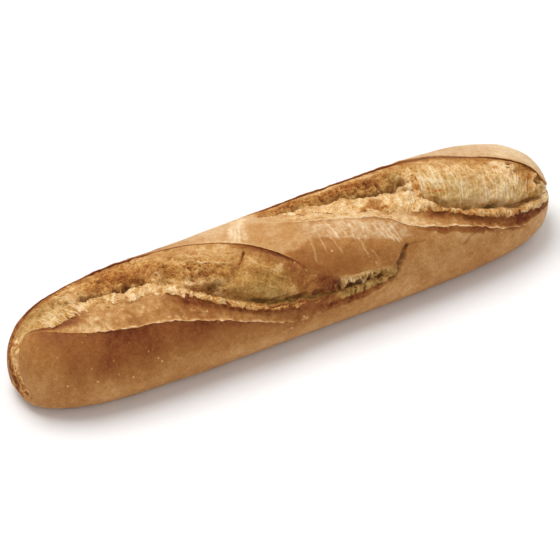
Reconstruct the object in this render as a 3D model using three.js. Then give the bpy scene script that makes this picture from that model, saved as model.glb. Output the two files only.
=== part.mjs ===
// A half-length baguette: one loaf with two long overlapping diagonal slashes that opened in the oven.
// Millimetres. X runs along the loaf, -Y is its front, +Z is up, and it rests on z = 0.
//
// A place on the loaf is given by a station x and a turn around its section, in degrees:
// 0 is the top line, positive turns go over to the front, negative ones over to the back.

import * as THREE from 'three';

// ---- Driving dimensions ----

const LENGTH = 290;
const WIDTH = 67.2;
const HEIGHT = 48;
const NOSE_HEIGHT = 13.6;      // height of the two tips above the table
const WIDEST_AT = 0.416;       // share of the height where the section is widest
const SETTLE = 0.5;            // how far the belly is pressed flat by its own weight
const BELLY_DEPTH = 0.06;      // share of the height that the round belly would reach below the flat
const BOW = -0.7;              // sideways bow of the whole loaf
const TAPER = 0.035;           // the right half is a little fuller than the left
const WAIST = 0.03;            // slight narrowing towards both tips
const TOP_ROUNDNESS = 2.1;     // superellipse power of the upper half of the section
const BELLY_ROUNDNESS = 2.7;   // superellipse power of the lower half
const TOP_FALL = 0.75;         // how quickly the top line drops towards the tips
const BELLY_RISE = 0.6;        // how quickly the underside rises towards the tips
const LEFT_TIP = { plan: 2.36, blunt: 6.4 };
const RIGHT_TIP = { plan: 2.0, blunt: 6.1 };

// ---- The two slashes ----
// Every line of a slash is [station, turn] pairs, joined smoothly.
// rear: rim of the back crust        crevice: deepest line        ridge: torn edge of the crumb
// front: cut edge of the front crust
// depth is [station, millimetres] of the crevice below the loaf's skin.
// bulge and flank are [station, share of that depth] that two lines between rear and crevice lie
// below the skin: the crumb swells up where they are small, and is hollow where they are large.

const LEFT_SLASH = {
  rear: [[-145, -60], [-139, -46], [-125, -40], [-85, -39], [-70, -35], [-49, -21.5], [-34, -7],
    [-21, 9.5], [-9.6, 29], [0, 49], [12, 62], [32, 68], [80, 74], [112, 87], [145, 88]],
  crevice: [[-145, 10], [-139, -11], [-125, -8], [-108, -4], [-90, 0], [-78, 1], [-71, 4], [-64, 18],
    [-48, 39], [-32, 58.5], [-20, 68], [-4, 74], [16, 80], [36, 78], [80, 81], [112, 91], [145, 92]],
  ridge: [[-145, 30], [-139, -4], [-125, 11.5], [-108, 11.5], [-92, 15.5], [-76, 20.5], [-64, 29.5],
    [-48, 50], [-32, 65.5], [-14, 76.5], [-3, 79.5], [12, 83], [36, 82], [80, 84], [112, 95], [145, 96]],
  front: [[-145, 60], [-141.5, 8], [-139, -1], [-130, 12.5], [-120, 28], [-99, 40.5], [-79, 47.5],
    [-39, 72.5], [-10, 91], [22, 91], [38, 86], [80, 92], [112, 104], [145, 104]],
  depth: [[-143, 0], [-135, 1.2], [-112, 3.4], [-85, 6], [-40, 6.4], [-12, 5.4], [6, 3.6], [28, 3.2],
    [41, 0]],
  bulge: [[-125, 0.1], [-110, 0.35], [-95, 0.45], [-80, 0.42], [-66, 0.3], [-50, 0.06], [-35, 0.06],
    [-20, 0.1], [10, 0.2]],
  flank: [[-125, 0.05], [-110, 0.55], [-95, 0.78], [-66, 0.7], [-50, 0.3], [-20, 0.4], [10, 0.45]],
};

const RIGHT_SLASH = {
  rear: [[-145, -84], [-60, -62], [-15, -46], [30, -45], [62, -42], [80, -31], [100, -9], [118, 5],
    [128, 16], [133, 28], [137, 44], [145, 62]],
  crevice: [[-145, -78], [-60, -53], [-15, -35], [2, -20], [22, -15], [47, -8], [56, -4], [62, 0],
    [67, 12], [72, 24], [82, 39], [103, 52], [116, 61], [130, 64], [138, 64], [145, 68]],
  ridge: [[-145, -73], [-60, -48], [-15, -28.5], [2, -13], [22, 1], [36, 11.5], [45, 18], [60, 26.5],
    [72, 36], [92, 54], [110, 68], [125, 72], [138, 75], [145, 75]],
  front: [[-145, -67], [-60, -42], [-15, -18], [0, -3], [29, 15], [47, 29], [54, 40], [85, 60],
    [107, 79], [118, 83], [138, 84], [145, 82]],
  depth: [[-14, 0], [4, 2.4], [25, 5], [60, 7], [95, 7.2], [116, 6], [128, 4.6], [136, 3.4], [141, 1.6],
    [144, 0]],
  bulge: [[0, 0.4], [55, 0.42], [66, 0.15], [90, 0.08], [118, 0.1], [128, 0.2]],
  flank: [[0, 0.8], [55, 0.8], [66, 0.4], [75, 0.35], [118, 0.35], [136, 0.3]],
};

// Across a slash, "at" is a share of the way from one line to the next,
// and "dip" is a share of the depth of the crevice.
const LIP_RISE = 0.5;                         // the cut crust edges curl up a little
const OPEN_DEPTH = 3;                         // depth at which a slash has its full lips and lumps
const GROOVE = { at: 0.14, dip: 0.3 };        // rear rim to crevice: under the rear rim
const BULGE_AT = 0.5;                         // rear rim to crevice: the bulge line
const FLANK_AT = 0.86;                        // rear rim to crevice: the flank line
const CREST = { at: 0.55, dip: 0.12 };        // crevice to ridge: the top of the torn ridge
const RIDGE_FOOT_DIP = 0.18;                  // the torn edge on the terrace
const TERRACE = { at: 0.45, dip: 0.24 };      // ridge to front edge: the stretched skin

// The skin between the two slashes bulges up. The bulge fades out over its half length.
const BRIDGE = { station: 12, halfLength: 26, swell: 1.2 };

// Uneven swellings of the torn crumb: crossing waves, in radians per millimetre and per degree.
const LUMPS = [
  { lengthwise: 0.31, around: 0.11, phase: 0, height: 0.34 },
  { lengthwise: 0.73, around: -0.23, phase: 1.3, height: 0.34 },
  { lengthwise: 0.17, around: 0.42, phase: 4, height: 0.28 },
];

// The split in the bridge at the right end of the left slash, between two [station, turn] places.
const SPLIT = { from: [49, 56], to: [38, 84], halfWidth: 1.6, depth: 1.5 };

// ---- Mesh ----

const STATIONS = 122;
const BACK_TURN = -105;        // plain crust behind the slashes, down to the belly
const FRONT_TURN = 135;        // plain crust in front of them
const TO_RADIANS = Math.PI / 180;

// A smooth curve through pairs [station, value], level beyond both of its ends.
function along(pairs, station) {
  const last = pairs.length - 1;
  if (station <= pairs[0][0]) return pairs[0][1];
  if (station >= pairs[last][0]) return pairs[last][1];
  let i = 0;
  while (pairs[i + 1][0] < station) i += 1;
  const slope = (a, b) => (pairs[b][1] - pairs[a][1]) / (pairs[b][0] - pairs[a][0]);
  const span = pairs[i + 1][0] - pairs[i][0];
  const here = slope(i, i + 1);
  const before = i > 0 ? slope(i - 1, i) : here;
  const after = i + 1 < last ? slope(i + 1, i + 2) : here;
  const startSlope = before * here > 0 ? 2 * before * here / (before + here) : 0;
  const endSlope = after * here > 0 ? 2 * after * here / (after + here) : 0;
  const s = (station - pairs[i][0]) / span;
  const rise = pairs[i + 1][1] - pairs[i][1];
  const bend = (startSlope * (1 - s) - endSlope * s) * span + rise * (2 * s - 1);
  return pairs[i][1] + rise * s + s * (1 - s) * bend;
}

// The smooth loaf before it was slashed.
function skinPoint(station, turn) {
  const half = LENGTH / 2;
  const reach = Math.min(Math.abs(station) / half, 1);
  const tip = station < 0 ? LEFT_TIP : RIGHT_TIP;
  const fullness = Math.pow(1 - Math.pow(reach, tip.blunt), 1 / tip.plan);
  const halfWidth = WIDTH / 2 * fullness * (1 + TAPER * station / half) * (1 - WAIST * reach ** 2);
  const top = NOSE_HEIGHT + (HEIGHT + SETTLE - NOSE_HEIGHT) * Math.pow(fullness, TOP_FALL);
  const bottom = NOSE_HEIGHT * (1 - Math.pow(fullness, BELLY_RISE));

  const across = Math.sin(turn * TO_RADIANS);
  const up = Math.cos(turn * TO_RADIANS);
  const power = 2 / (up > 0 ? TOP_ROUNDNESS : BELLY_ROUNDNESS);
  const side = Math.sign(across) * Math.pow(Math.abs(across), power);
  const rise = Math.pow(Math.abs(up), power);
  const share = up > 0
    ? WIDEST_AT + (1 - WIDEST_AT) * rise
    : Math.max(WIDEST_AT - (WIDEST_AT + BELLY_DEPTH) * rise, 0);
  return new THREE.Vector3(
    station,
    -side * halfWidth + BOW * (1 - reach ** 2),
    Math.max(bottom + share * (top - bottom) - SETTLE, 0),
  );
}

// The direction straight out of the skin.
function skinNormal(station, turn) {
  const step = 0.2;
  const inner = Math.sign(station) * Math.min(Math.abs(station), LENGTH / 2 - 2 * step);
  const lengthwise = skinPoint(inner + step, turn).sub(skinPoint(inner - step, turn));
  const around = skinPoint(inner, turn + 1).sub(skinPoint(inner, turn - 1));
  return around.cross(lengthwise).normalize();
}

// The marks of one slash across a station, from its rear rim to its front edge.
function slashMarks(slash, station) {
  const rear = along(slash.rear, station);
  const crevice = along(slash.crevice, station);
  const ridge = along(slash.ridge, station);
  const front = along(slash.front, station);
  const depth = along(slash.depth, station);
  const bulgeDip = along(slash.bulge, station) * depth;
  const flankDip = along(slash.flank, station) * depth;
  const open = Math.min(depth / OPEN_DEPTH, 1);
  const toCrevice = (share) => THREE.MathUtils.lerp(rear, crevice, share);
  const toRidge = (share) => THREE.MathUtils.lerp(crevice, ridge, share);
  const toFront = (share) => THREE.MathUtils.lerp(ridge, front, share);
  return [
    { turn: rear, out: LIP_RISE * open, columns: 2 },
    { turn: toCrevice(GROOVE.at), out: -GROOVE.dip * depth, columns: 1 },
    { turn: toCrevice(BULGE_AT), out: -bulgeDip, columns: 2, lumpy: open },
    { turn: toCrevice(FLANK_AT), out: -flankDip, columns: 2, lumpy: open },
    { turn: crevice, out: -depth, columns: 1, lumpy: open },
    { turn: toRidge(CREST.at), out: -CREST.dip * depth, columns: 1, lumpy: open },
    { turn: ridge, out: -RIDGE_FOOT_DIP * depth, columns: 1 },
    { turn: toFront(TERRACE.at), out: -TERRACE.dip * depth, columns: 1 },
    { turn: front, out: LIP_RISE * open, columns: 2 },
  ];
}

// All marks around the section at a station, from the middle of the belly to the same place again.
// Each mark is reached from the one before it in its own number of columns.
function sectionMarks(station) {
  const rightSlash = slashMarks(RIGHT_SLASH, station);
  const leftSlash = slashMarks(LEFT_SLASH, station);
  const bridgeBack = rightSlash[rightSlash.length - 1].turn;
  const bridgeFront = leftSlash[0].turn;
  const swell = BRIDGE.swell * Math.exp(-(((station - BRIDGE.station) / BRIDGE.halfLength) ** 2));
  const inFront = leftSlash[leftSlash.length - 1].turn;
  return [
    { turn: -180, out: 0, columns: 0 },
    { turn: BACK_TURN, out: 0, columns: 5 },
    { ...rightSlash[0], columns: 3 },
    ...rightSlash.slice(1),
    { turn: (bridgeBack + bridgeFront) / 2, out: swell, columns: 2 },
    ...leftSlash,
    { turn: (inFront + FRONT_TURN) / 2, out: 0, columns: 2 },
    { turn: FRONT_TURN, out: 0, columns: 1 },
    { turn: 180, out: 0, columns: 3 },
  ];
}

function lump(station, turn) {
  const wave = (w) => w.height * Math.sin(station * w.lengthwise + turn * w.around + w.phase);
  return LUMPS.reduce((sum, w) => sum + wave(w), 0);
}

// How far the split in the bridge sinks the skin, from 0 to 1.
function splitShare(point) {
  const start = skinPoint(...SPLIT.from);
  const end = skinPoint(...SPLIT.to);
  const line = new THREE.Line3(start, end);
  const nearest = line.closestPointToPoint(point, true, new THREE.Vector3());
  return Math.max(0, 1 - nearest.distanceTo(point) / SPLIT.halfWidth);
}

// One ring of the loaf: the points around it at a station.
function ring(station) {
  const marks = sectionMarks(station);
  const points = [];
  const add = (turn, out, lumpy) => {
    const point = skinPoint(station, turn);
    const rise = out + lumpy * lump(station, turn) - SPLIT.depth * splitShare(point);
    point.addScaledVector(skinNormal(station, turn), rise);
    point.z = Math.max(point.z, 0);
    points.push(point);
  };
  add(marks[0].turn, marks[0].out, 0);
  for (let i = 1; i < marks.length; i += 1) {
    const from = marks[i - 1];
    const to = marks[i];
    for (let step = 1; step <= to.columns; step += 1) {
      const share = step / to.columns;
      const ease = share * share * (3 - 2 * share);
      const lumpy = THREE.MathUtils.lerp(from.lumpy ?? 0, to.lumpy ?? 0, share);
      const turn = THREE.MathUtils.lerp(from.turn, to.turn, share);
      add(turn, THREE.MathUtils.lerp(from.out, to.out, ease), lumpy);
    }
  }
  return points;
}

// The loaf is a sphere whose poles become the two tips and whose rows become the rings.
function loafGeometry() {
  const columns = ring(0).length - 1;
  const geometry = new THREE.SphereGeometry(1, columns, STATIONS);
  const position = geometry.getAttribute('position');
  const tipHeight = NOSE_HEIGHT - SETTLE;
  for (let row = 0; row <= STATIONS; row += 1) {
    const station = LENGTH / 2 * Math.cos(Math.PI * row / STATIONS);
    const isTip = row === 0 || row === STATIONS;
    const points = isTip ? [] : ring(station);
    for (let column = 0; column <= columns; column += 1) {
      const point = isTip
        ? new THREE.Vector3(station, 0, tipHeight)
        : points[column % columns];
      position.setXYZ(row * (columns + 1) + column, point.x, point.y, point.z);
    }
  }
  geometry.deleteAttribute('uv');
  geometry.computeBoundingBox();
  const middle = geometry.boundingBox.getCenter(new THREE.Vector3());
  geometry.translate(0, -middle.y, 0);
  geometry.computeVertexNormals();
  return geometry;
}

const crust = new THREE.MeshStandardMaterial({ color: '#b9824c', roughness: 0.75, metalness: 0 });
const baguette = new THREE.Mesh(loafGeometry(), crust);
baguette.name = 'baguette';

const group = new THREE.Group();
group.add(baguette);

export default group;
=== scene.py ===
"""A half-length baguette: the looks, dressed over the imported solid. Blender 4.5.

The loaf's form is worked out in millimetres, from the same named sizes as the solid, and then
goes to metres. A place on the loaf is a station (x) and a turn around its section in degrees:
0 is the top line, positive turns go over to the front (-Y), negative ones over to the back.
"""
import math

import bpy
import numpy as np
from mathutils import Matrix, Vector


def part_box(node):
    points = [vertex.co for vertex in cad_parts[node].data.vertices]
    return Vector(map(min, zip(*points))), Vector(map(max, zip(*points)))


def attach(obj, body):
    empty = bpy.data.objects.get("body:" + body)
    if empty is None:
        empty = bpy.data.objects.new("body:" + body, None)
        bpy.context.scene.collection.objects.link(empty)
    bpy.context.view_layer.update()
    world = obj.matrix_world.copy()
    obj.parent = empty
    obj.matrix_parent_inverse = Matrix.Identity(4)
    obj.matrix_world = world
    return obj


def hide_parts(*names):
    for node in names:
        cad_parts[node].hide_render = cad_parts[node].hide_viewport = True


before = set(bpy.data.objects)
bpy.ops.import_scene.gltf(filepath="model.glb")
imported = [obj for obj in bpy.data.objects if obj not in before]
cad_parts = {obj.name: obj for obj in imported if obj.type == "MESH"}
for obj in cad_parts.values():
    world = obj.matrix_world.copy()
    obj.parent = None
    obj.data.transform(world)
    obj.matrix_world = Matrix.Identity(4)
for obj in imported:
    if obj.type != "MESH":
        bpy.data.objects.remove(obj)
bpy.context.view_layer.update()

scene = bpy.context.scene
MM = 0.001

# ---- The loaf before it was slashed ----

LENGTH = 290.0
WIDTH = 67.2
HEIGHT = 48.0
NOSE_HEIGHT = 13.6
WIDEST_AT = 0.416
SETTLE = 0.5
BELLY_DEPTH = 0.06
BOW = -0.7
TAPER = 0.035
WAIST = 0.03
TOP_ROUNDNESS = 2.1
BELLY_ROUNDNESS = 2.7
TOP_FALL = 0.75
BELLY_RISE = 0.6
LEFT_TIP = {"plan": 2.36, "blunt": 6.4}
RIGHT_TIP = {"plan": 2.0, "blunt": 6.1}
HALF = LENGTH / 2

# ---- The two slashes: [station, turn] pairs along each line, and the depth in millimetres ----

LEFT_SLASH = {
    "rear": [(-145, -60), (-139, -46), (-125, -40), (-85, -39), (-70, -35), (-49, -21.5), (-34, -7),
        (-21, 9.5), (-9.6, 29), (0, 49), (12, 62), (32, 68), (80, 74), (112, 87), (145, 88)],
    "crevice": [(-145, 10), (-139, -11), (-125, -8), (-108, -4), (-90, 0), (-78, 1), (-71, 4), (-64, 18),
        (-48, 39), (-32, 58.5), (-20, 68), (-4, 74), (16, 80), (36, 78), (80, 81), (112, 91), (145, 92)],
    "ridge": [(-145, 30), (-139, -4), (-125, 11.5), (-108, 11.5), (-92, 15.5), (-76, 20.5), (-64, 29.5),
        (-48, 50), (-32, 65.5), (-14, 76.5), (-3, 79.5), (12, 83), (36, 82), (80, 84), (112, 95), (145, 96)],
    "front": [(-145, 60), (-141.5, 8), (-139, -1), (-130, 12.5), (-120, 28), (-99, 40.5), (-79, 47.5),
        (-39, 72.5), (-10, 91), (22, 91), (38, 86), (80, 92), (112, 104), (145, 104)],
    "depth": [(-143, 0), (-135, 1.2), (-112, 3.4), (-85, 6), (-40, 6.4), (-12, 5.4), (6, 3.6), (28, 3.2),
        (41, 0)],
}
RIGHT_SLASH = {
    "rear": [(-145, -84), (-60, -62), (-15, -46), (30, -45), (62, -42), (80, -31), (100, -9), (118, 5),
        (128, 16), (133, 28), (137, 44), (145, 62)],
    "crevice": [(-145, -78), (-60, -53), (-15, -35), (2, -20), (22, -15), (47, -8), (56, -4), (62, 0),
        (67, 12), (72, 24), (82, 39), (103, 52), (116, 61), (130, 64), (138, 64), (145, 68)],
    "ridge": [(-145, -73), (-60, -48), (-15, -28.5), (2, -13), (22, 1), (36, 11.5), (45, 18), (60, 26.5),
        (72, 36), (92, 54), (110, 68), (125, 72), (138, 75), (145, 75)],
    "front": [(-145, -67), (-60, -42), (-15, -18), (0, -3), (29, 15), (47, 29), (54, 40), (85, 60),
        (107, 79), (118, 83), (138, 84), (145, 82)],
    "depth": [(-14, 0), (4, 2.4), (25, 5), (60, 7), (95, 7.2), (116, 6), (128, 4.6), (136, 3.4), (141, 1.6),
        (144, 0)],
}
OPEN_DEPTH = 3.0
GROOVE_AT, GROOVE_DIP = 0.14, 0.3
BULGE_AT, BULGE_DIP = 0.5, 0.2
FLANK_AT, FLANK_DIP = 0.86, 0.62
CREST_AT, CREST_DIP = 0.55, 0.12
TERRACE_DIP = 0.24
BRIDGE_STATION, BRIDGE_HALF_LENGTH, BRIDGE_SWELL = 12.0, 26.0, 1.2
BACK_TURN, FRONT_TURN = -105.0, 135.0
# lengthwise, around, phase, height of each wave of lumps
LUMPS = [(0.31, 0.11, 0.0, 0.34), (0.73, -0.23, 1.3, 0.34), (0.17, 0.42, 4.0, 0.28)]
SPLIT_FROM, SPLIT_TO = (49, 56), (38, 84)

MM_PER_TURN = 0.58       # a degree of turn is about this many millimetres of skin


# ---- Small numeric helpers ----

def along(pairs, station):
    """A smooth curve through [station, value] pairs, level beyond both ends."""
    xs, ys = np.array(pairs, float).T
    x = np.clip(np.asarray(station, float), xs[0], xs[-1])
    slope = np.diff(ys) / np.diff(xs)
    i = np.clip(np.searchsorted(xs, x) - 1, 0, len(slope) - 1)
    here = slope[i]
    before = slope[np.maximum(i - 1, 0)]
    after = slope[np.minimum(i + 1, len(slope) - 1)]

    def shared(a, b):
        return np.where(a * b > 0, 2 * a * b / np.where(a + b == 0, 1, a + b), 0)

    start, end = shared(before, here), shared(after, here)
    span = np.diff(xs)[i]
    s = (x - xs[i]) / span
    rise = ys[i + 1] - ys[i]
    bend = (start * (1 - s) - end * s) * span + rise * (2 * s - 1)
    return ys[i] + rise * s + s * (1 - s) * bend


def curves(table, station):
    return {name: along(pairs, station) for name, pairs in table.items()}


def between(a, b, share):
    return a + (b - a) * share


def fade(value, low, high):
    """0 below low, 1 above high, smooth between; low may be above high."""
    s = np.clip((value - low) / (high - low), 0, 1)
    return s * s * (3 - 2 * s)


def bump(value, middle, width):
    return np.exp(-((value - middle) / width) ** 2)


def cell_values(cell, seed):
    """One repeatable number from -1 to 1 for each whole-number cell."""
    mask = np.uint64(0xFFFFFFFF)
    h = np.full(cell.shape[:-1], (seed * 2654435761) & 0xFFFFFFFF, np.uint64)
    for axis, prime in enumerate((374761393, 668265263, 2246822519)):
        whole = (cell[..., axis].astype(np.int64) & 0xFFFFFFFF).astype(np.uint64)
        h = (h ^ (whole * np.uint64(prime))) & mask
        h = (h ^ (h >> np.uint64(15))) * np.uint64(2246822507) & mask
        h = h ^ (h >> np.uint64(13))
    return h.astype(np.float64) / 2147483648.0 - 1.0


def noise(p, size, seed):
    """Smooth noise from about -1 to 1, with bumps about size millimetres apart."""
    q = p / size + seed * 0.37
    cell = np.floor(q)
    f = q - cell
    w = f * f * f * (f * (f * 6 - 15) + 10)
    total = np.zeros(p.shape[:-1])
    for corner in range(8):
        step = np.array([corner & 1, corner >> 1 & 1, corner >> 2 & 1])
        weight = np.prod(np.where(step == 1, w, 1 - w), axis=-1)
        total += weight * cell_values(cell + step, seed)
    return total


def layered(p, size, seed, layers=3):
    """Noise with finer layers added, each half the size and height of the one before."""
    turned = np.array([[0.8, 0.6, 0.0], [-0.48, 0.64, 0.6], [0.36, -0.48, 0.8]])
    total, height = 0.0, 1.0
    for layer in range(layers):
        total = total + height * noise(p, size / 2 ** layer, seed + layer)
        p = p @ turned
        height *= 0.5
    return total


def web(p, size, seed):
    """Thin threads of 1 that wind and cross over a ground of 0."""
    return np.clip(1 - 3.4 * np.abs(noise(p, size, seed)), 0, 1)


def bubbles(p, size, seed):
    """0 in the middle of a bubble and 1 on the wall between two, with bubbles about size apart."""
    q = p / size + seed * 0.61
    cell = np.floor(q)
    nearest = np.full(q.shape[:-1], 9.0)
    for i in range(27):
        neighbour = cell + np.array([i % 3 - 1, i // 3 % 3 - 1, i // 9 - 1])
        middle = np.stack([cell_values(neighbour, seed + k) for k in range(3)], -1)
        middle = neighbour + 0.5 + 0.42 * middle
        nearest = np.minimum(nearest, np.sum((q - middle) ** 2, axis=-1))
    return np.clip(np.sqrt(nearest) * 1.25, 0, 1)


def flat(a, b):
    """Points for noise that differs in two directions only."""
    return np.stack([a, b, 0 * b], -1)


def wander(p, size, seed, amount):
    """A sideways push in three directions."""
    return amount * np.stack([noise(p, size, seed + k) for k in range(3)], -1)


def patch(x, turn, p, oval, ragged_by=0.35):
    """1 inside an uneven oval on the skin, 0 outside it. An oval is its station, turn and half sizes."""
    away = np.hypot((x - oval[0]) / oval[2], (turn - oval[1]) / oval[3])
    return fade(away + ragged_by * layered(p, 3, 77, 2), 1.3, 0.6)


def crease(x, turn, p, start, end, width):
    """1 on a wavering line between two places on the skin, 0 off it; width in millimetres."""
    a, b = (np.array([s, t * MM_PER_TURN]) for s, t in (start, end))
    sway = [0.6 * noise(p, 3, seed) for seed in (91, 92)]
    here = np.stack([x + sway[0], turn * MM_PER_TURN + sway[1]], -1)
    share = np.clip((here - a) @ (b - a) / ((b - a) @ (b - a)), 0, 1)
    apart = np.linalg.norm(here - (a + share[..., None] * (b - a)), axis=-1)
    return fade(apart, width, width * 0.3)


# ---- The skin of the loaf ----

def skin(station, turn):
    x, turn = np.broadcast_arrays(np.asarray(station, float), np.asarray(turn, float))
    reach = np.minimum(np.abs(x) / HALF, 1)
    plan, blunt = (np.where(x < 0, LEFT_TIP[k], RIGHT_TIP[k]) for k in ("plan", "blunt"))
    fullness = (1 - reach ** blunt) ** (1 / plan)
    half_width = WIDTH / 2 * fullness * (1 + TAPER * x / HALF) * (1 - WAIST * reach ** 2)
    top = between(NOSE_HEIGHT, HEIGHT + SETTLE, fullness ** TOP_FALL)
    bottom = NOSE_HEIGHT * (1 - fullness ** BELLY_RISE)
    across, up = np.sin(np.radians(turn)), np.cos(np.radians(turn))
    power = 2 / np.where(up > 0, TOP_ROUNDNESS, BELLY_ROUNDNESS)
    side = np.sign(across) * np.abs(across) ** power
    rise = np.abs(up) ** power
    upper = between(WIDEST_AT, 1, rise)
    lower = np.maximum(between(WIDEST_AT, -BELLY_DEPTH, rise), 0)
    share = np.where(up > 0, upper, lower)
    y = -side * half_width + BOW * (1 - reach ** 2)
    z = np.maximum(bottom + share * (top - bottom) - SETTLE, 0)
    return np.stack([x, y, z], -1)


def skin_normal(station, turn):
    step = 0.2
    x = np.clip(station, -HALF + 2 * step, HALF - 2 * step)
    lengthwise = skin(x + step, turn) - skin(x - step, turn)
    around = skin(x, turn + 1) - skin(x, turn - 1)
    n = np.cross(around, lengthwise)
    return n / np.maximum(np.linalg.norm(n, axis=-1, keepdims=True), 1e-9)


# ---- Marks across the section, and the rings drawn through them ----

NO_LOOKS = dict.fromkeys(("crumb", "raw", "dark", "rough", "own", "terrace", "lip", "across"), 0.0)


def mark(turn, out, columns, **looks):
    """A place across the section: its turn and height at every station, the columns that lead to it
    from the mark before, and its looks there."""
    return {"turn": turn, "out": out, "columns": columns, "looks": {**NO_LOOKS, "bake": 0.5, **looks}}


def rings(marks, stations):
    """Turn, height and looks of every column at every station. The curve through the marks of
    a station is smooth in turn and height together, so that a lip can overhang."""
    def full(value):
        return np.broadcast_to(value, stations.shape)

    place = np.array([np.stack([full(m["turn"]) * MM_PER_TURN, full(m["out"])], -1) for m in marks])
    looks = np.array([[full(value) for value in m["looks"].values()] for m in marks])
    leap = np.diff(place, axis=0)
    gap = np.linalg.norm(leap, axis=-1, keepdims=True) + 1e-6
    direction = leap / gap
    smooth = (direction[:-1] * gap[1:] + direction[1:] * gap[:-1]) / (gap[:-1] + gap[1:])
    tangent = np.concatenate([direction[:1], smooth, direction[-1:]])
    columns, found = [place[0]], [looks[0]]
    for k in range(1, len(marks)):
        count = marks[k]["columns"]
        for t in (step / count for step in range(1, count + 1)):
            columns.append(
                (2 * t ** 3 - 3 * t ** 2 + 1) * place[k - 1] + (3 * t ** 2 - 2 * t ** 3) * place[k]
                + ((t ** 3 - 2 * t ** 2 + t) * tangent[k - 1] + (t ** 3 - t ** 2) * tangent[k]) * gap[k - 1])
            found.append(between(looks[k - 1], looks[k], t))
    grid = np.stack(columns, 1)
    return grid[..., 0] / MM_PER_TURN, grid[..., 1], dict(zip(marks[0]["looks"], np.stack(found, -1)))


def ragged(station, size, seed, height):
    """Unevenness of a line along the loaf, in degrees of turn."""
    return layered(flat(station, station * 0 + seed * 7.3), size, seed, 4) * height


# ---- The lines of a slash, at every station ----

def slash_lines(slash, x, seed):
    """The slash's lines at every station, ragged where it is open, and how uneven its rims are."""
    lines = curves(slash, x)
    opened = np.clip(lines["depth"] / OPEN_DEPTH, 0, 1)
    wild = between(0.35, 1.0, fade(x, -116, -98))
    lines["open"] = opened
    lines["rear"] += opened * (ragged(x, 11, seed, 0.9) + ragged(x, 3, seed + 3, 0.3))
    lines["crevice"] += opened * ragged(x, 7, seed + 10, 2.2)
    lines["ridge"] += opened * wild * (ragged(x, 6, seed + 20, 1.5) + ragged(x, 1.9, seed + 24, 1.8))
    lines["front"] += opened * (ragged(x, 9, seed + 30, 0.8) + ragged(x, 2.2, seed + 33, 0.8))
    lines["notches"] = opened * np.clip(ragged(x, 2.6, seed + 27, 0.7) - 0.05, 0, 0.6)
    lines["bumps"] = np.clip(1 + ragged(x, 4.5, seed + 40, 0.8), 0, 2)
    lines["uneven"] = 1 + ragged(x, 8, seed + 50, 0.2)
    return lines


TUCK = 2.4               # how far the crumb runs on under the crust
HIDDEN = 1.3             # how far the crust piece sinks below the edges of the crumb piece
BURIED = 3.4             # and below its middle
DEG = 1 / MM_PER_TURN


def crust_marks(lines, bake):
    """The crust piece across one slash. Where the crumb piece lies on it, it sinks out of sight."""
    d, o = lines["depth"], lines["open"]
    rear, crevice, ridge, front = (lines[n] for n in ("rear", "crevice", "ridge", "front"))
    low, deep = HIDDEN * o, BURIED * o
    rim = bake["rim_height"] * o * lines["bumps"]
    lip = bake["lip_height"] * o
    under = 0.3 * (1 - o) - bake["under_cut"] * o
    torn = {"crumb": o, "raw": 0.6 * o, "own": o}
    stringy = bake["stringy"] * o
    # the foot of the terrace, just under the ridge, is browner: partly its own browning, partly painted shade
    # under the overhanging ridge
    foot = {"crumb": stringy, "bake": bake["foot"], "raw": stringy, "own": o, "terrace": o}
    terrace = {"bake": bake["terrace"], "own": o, "terrace": o}
    wall = ((BULGE_AT, BULGE_DIP), (FLANK_AT, FLANK_DIP), (1.0, 1.0))
    return [
        mark(rear - 3 * DEG, 0.15 * rim, 3),
        mark(rear - 0.4 * DEG, rim - 0.1 * o, 5, bake=bake["rim_top"], own=0.7 * o * bake["rim_light"]),
        mark(rear, rim * 0.6, 2, bake=bake["rim"], own=o),
        # the underside of the rim is a little browner: painted shade under the overhang
        mark(rear + under * DEG, -0.9 * o, 2, bake=bake["rim"] + 0.1, own=o),
        mark(between(rear, crevice, GROOVE_AT), -GROOVE_DIP * d - low, 1, **torn),
        *[mark(between(rear, crevice, at), -dip * d - deep, 2, **torn) for at, dip in wall],
        mark(between(crevice, ridge, CREST_AT), -CREST_DIP * d - deep, 2, **torn),
        mark(ridge - (0.6 + 1.9 * o) * DEG, -TERRACE_DIP * d - low, 1, **torn),
        mark(ridge - (0.3 + 1.1 * o) * DEG, -TERRACE_DIP * d, 1, **foot),
        mark(ridge + 0.5 * DEG, -TERRACE_DIP * d * 1.1, 2, **foot),
        mark(between(ridge, front, 0.28), -TERRACE_DIP * d * 1.15, 3, **foot),
        mark(between(ridge, front, 0.6), -TERRACE_DIP * d * 0.85, 4, **terrace),
        mark(front - 1.4 * DEG, -0.1 * d, 4, **terrace),
        mark(front - 0.4 * DEG, lip * 0.6, 3, bake=between(bake["terrace"], bake["lip"], 0.4), own=o,
             terrace=0.5 * o, lip=0.6 * o),
        # the lip is paler: partly the pale edge of the skin, partly a painted highlight along it
        mark(front, lip, 2, bake=bake["lip"], own=o, lip=o),
        mark(front + 0.35 * DEG, lip * 0.5, 2, bake=bake["edge"], own=o, lip=0.4 * o),
        mark(front + 3.2 * DEG, 0.1 * lip, 4, bake=bake["edge"], own=0.5 * o),
    ]


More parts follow.
